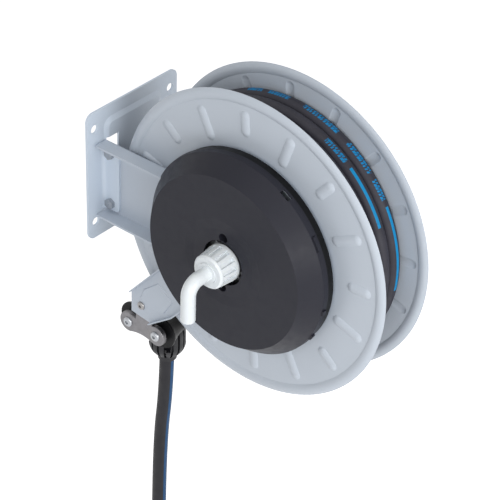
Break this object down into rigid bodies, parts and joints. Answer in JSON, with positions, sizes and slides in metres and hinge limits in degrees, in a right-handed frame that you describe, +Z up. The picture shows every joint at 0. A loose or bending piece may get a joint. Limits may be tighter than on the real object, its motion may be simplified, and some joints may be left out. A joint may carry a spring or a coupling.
{
  "type": "hose reel",
  "caption": "Wall-mounted spring-rewind hose reel: pressed two-disc drum with wound hose, spring cover, swivel inlet elbow, roller guide, hose stop and hanging hose end.",
  "frame": {"origin": "centre of the four wall bolt holes, on the back face of the wall plate", "axes": "+X out of the wall, +Z up, the drum turns about an axis along Y and the spring cover and inlet face -Y"},
  "size_m": [0.46, 0.2592, 0.874],
  "materials": {
    "frame_paint": "light bluish grey powder coat, satin",
    "disc_paint": "light bluish grey powder coat, satin",
    "zinc": "zinc-plated steel, dull",
    "steel_dark": "plain machined or spring steel, oiled",
    "cover_plastic": "anthracite moulded plastic, fine grain, satin",
    "bush_plastic": "natural bearing plastic",
    "roller_plastic": "black moulded plastic, satin",
    "stop_rubber": "black moulded rubber",
    "hose_rubber": "black hose rubber with a blue line",
    "seal_rubber": "black seal rubber",
    "white_plastic": "white moulded plastic, satin gloss",
    "brass": "turned brass"
  },
  "bodies": {
    "frame": {"wall_plate": "frame_paint", "support_arm": "frame_paint", "arm_bolts": "zinc", "arm_nuts": "zinc", "guide_arm": "frame_paint", "guide_rivets": "frame_paint", "link_bolt": "zinc", "link_nut": "zinc", "link_front": "zinc", "link_rear": "zinc", "roller_axles": "zinc", "axle_nuts": "zinc", "hub_tube": "steel_dark", "hub_bolts": "zinc", "bush_front": "bush_plastic", "bush_rear": "bush_plastic", "spring_case": "steel_dark", "spring_case_screws": "zinc", "power_spring": "steel_dark", "case_lid": "steel_dark", "pawl_pin": "zinc", "pawl_spring": "steel_dark", "reel_cover": "cover_plastic", "cover_screws": "zinc", "cover_clips": "cover_plastic", "hose_lead": "hose_rubber"},
    "drum": {"shaft": "steel_dark", "thrust_washer": "zinc", "retaining_ring": "zinc", "front_disc": "disc_paint", "rear_disc": "disc_paint", "drum_core": "disc_paint", "tie_bolts": "zinc", "tie_nuts": "zinc", "shaft_flange_bolts": "zinc", "outlet_pipe": "brass", "hose_inlet": "hose_rubber", "hose_clamp": "zinc", "hose_coil": "hose_rubber", "spring_arbor": "steel_dark", "ratchet_wheel": "steel_dark", "swivel_nut": "white_plastic", "swivel_seals": "seal_rubber"},
    "pawl": {"pawl": "steel_dark"},
    "elbow": {"inlet_elbow": "white_plastic"},
    "roller_left": {"roller_left": "roller_plastic"},
    "roller_right": {"roller_right": "roller_plastic"},
    "hose": {"hose_run": "hose_rubber", "stop_half_left": "stop_rubber", "stop_half_right": "stop_rubber", "stop_screws": "zinc", "hose_tail": "hose_rubber", "hose_ferrule": "brass", "end_fitting": "brass"}
  },
  "joints": [
    {"name": "drum_spin", "type": "hinge", "parent": "frame", "child": "drum", "pos_m": [0.245, 0, -0.012], "axis": [0, -1, 0], "range_deg": [0, 45], "stiffness_Nm_per_rad": 0.5},
    {"name": "hose_pull", "type": "slide", "parent": "frame", "child": "hose", "axis": [0, 0, -1], "range_m": [0, 0.136]},
    {"name": "elbow_swivel", "type": "hinge", "parent": "frame", "child": "elbow", "pos_m": [0.245, 0, -0.012], "axis": [0, -1, 0], "continuous": true},
    {"name": "roller_left_spin", "type": "hinge", "parent": "frame", "child": "roller_left", "pos_m": [0.0425, 0, -0.231], "axis": [0, -1, 0], "range_deg": [-560, 0]},
    {"name": "roller_right_spin", "type": "hinge", "parent": "frame", "child": "roller_right", "pos_m": [0.0925, 0, -0.231], "axis": [0, -1, 0], "range_deg": [0, 560]},
    {"name": "pawl_lift", "type": "hinge", "parent": "frame", "child": "pawl", "pos_m": [0.287, -0.0855, 0.014], "axis": [0, -1, 0], "range_deg": [0, 18], "stiffness_Nm_per_rad": 0.05}
  ],
  "couplings": [
    {"joint": "hose_pull", "follows": "drum_spin", "m_per_rad": 0.1722},
    {"joint": "roller_left_spin", "follows": "drum_spin", "ratio": -12.3},
    {"joint": "roller_right_spin", "follows": "drum_spin", "ratio": 12.3}
  ]
}
